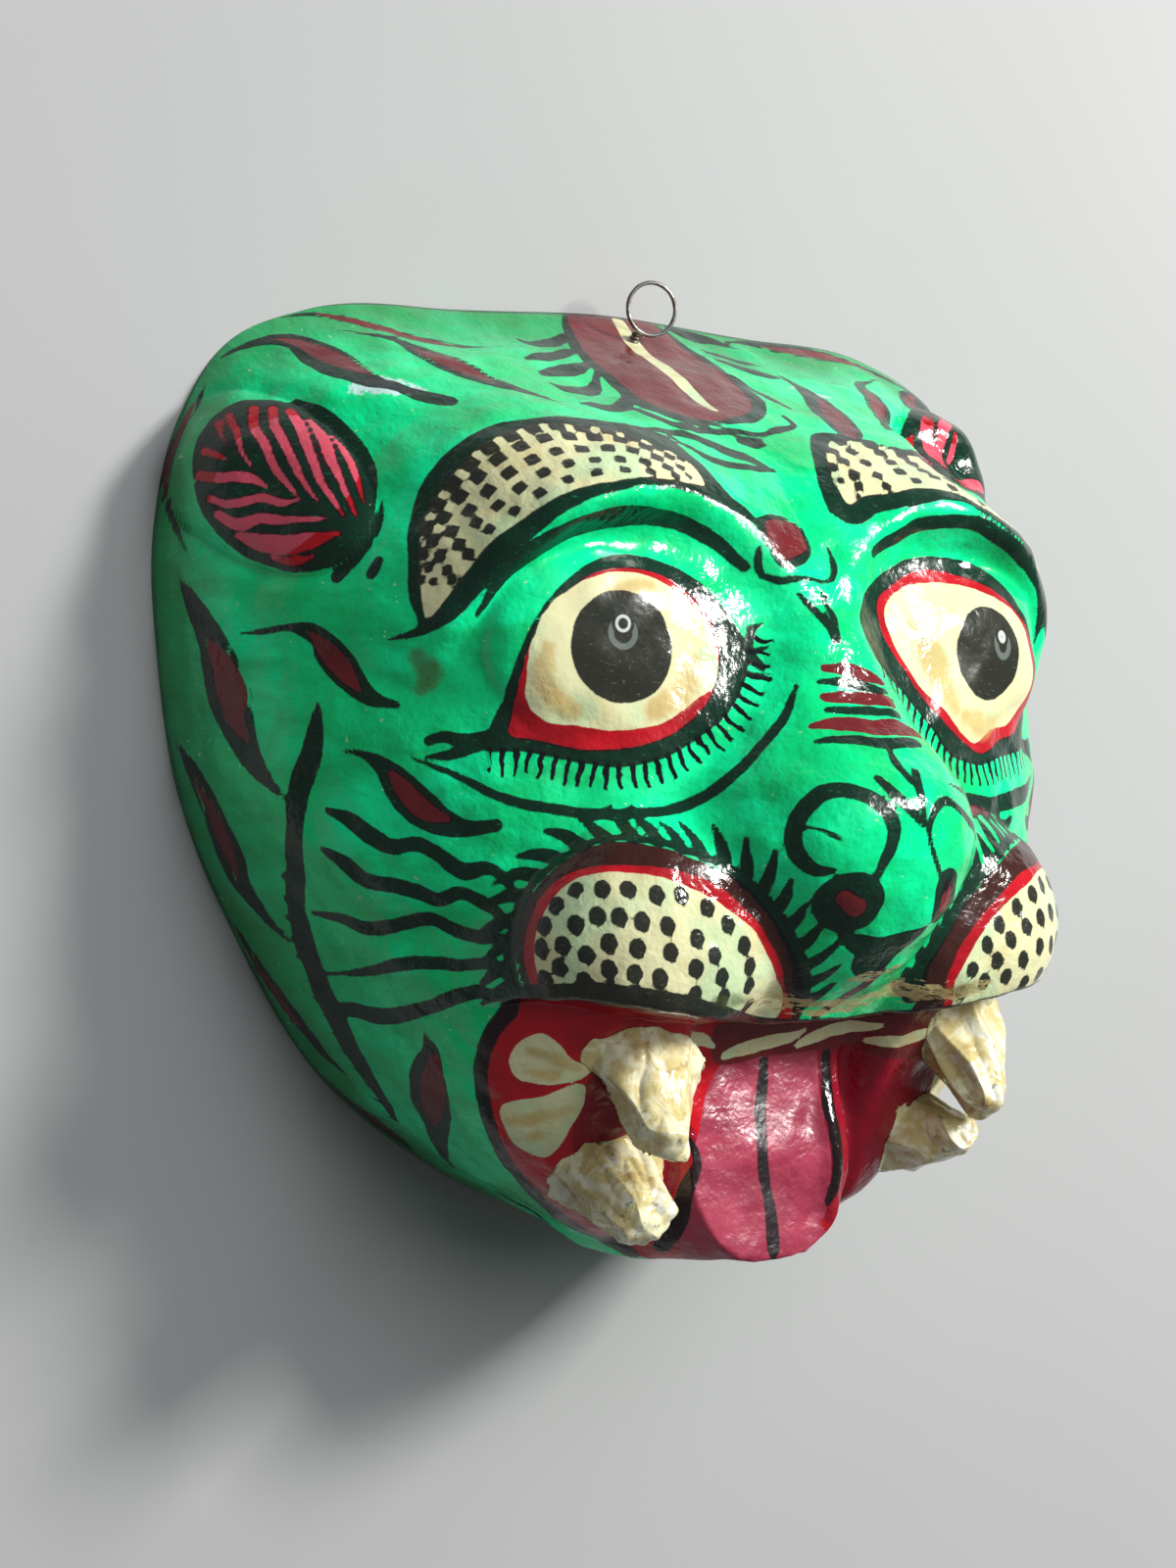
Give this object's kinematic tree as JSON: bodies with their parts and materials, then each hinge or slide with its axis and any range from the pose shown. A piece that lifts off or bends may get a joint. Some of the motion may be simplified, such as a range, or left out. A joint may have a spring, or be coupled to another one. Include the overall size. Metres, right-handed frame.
{
  "type": "papier-mache tiger mask",
  "caption": "Hollow papier-mache tiger face mask with bulging eyes, brow rolls, muzzle pads, hanging tongue and glued paper fangs, open at the back, hung by a wire ring.",
  "frame": {"origin": "middle of the bounding box, on the plane of the flat back rim; the mask lies face up on that rim", "axes": "+Z out of the face, +Y to the top of the head, +X to the viewer's right"},
  "size_m": [0.2676, 0.2458, 0.1265],
  "materials": {
    "painted_paper": "hand-painted in bright green with black, wine, red and cream, glossy varnish over papier-mache",
    "cream_paper": "crumpled paper in cream paint with ochre stains, glossy varnish",
    "steel_wire": "dull bare wire"
  },
  "bodies": {
    "root": {"mask_shell": "painted_paper", "fang_upper_left": "cream_paper", "fang_upper_right": "cream_paper", "fang_lower_left": "cream_paper", "fang_lower_right": "cream_paper", "hanging_ring": "steel_wire"}
  },
  "joints": []
}
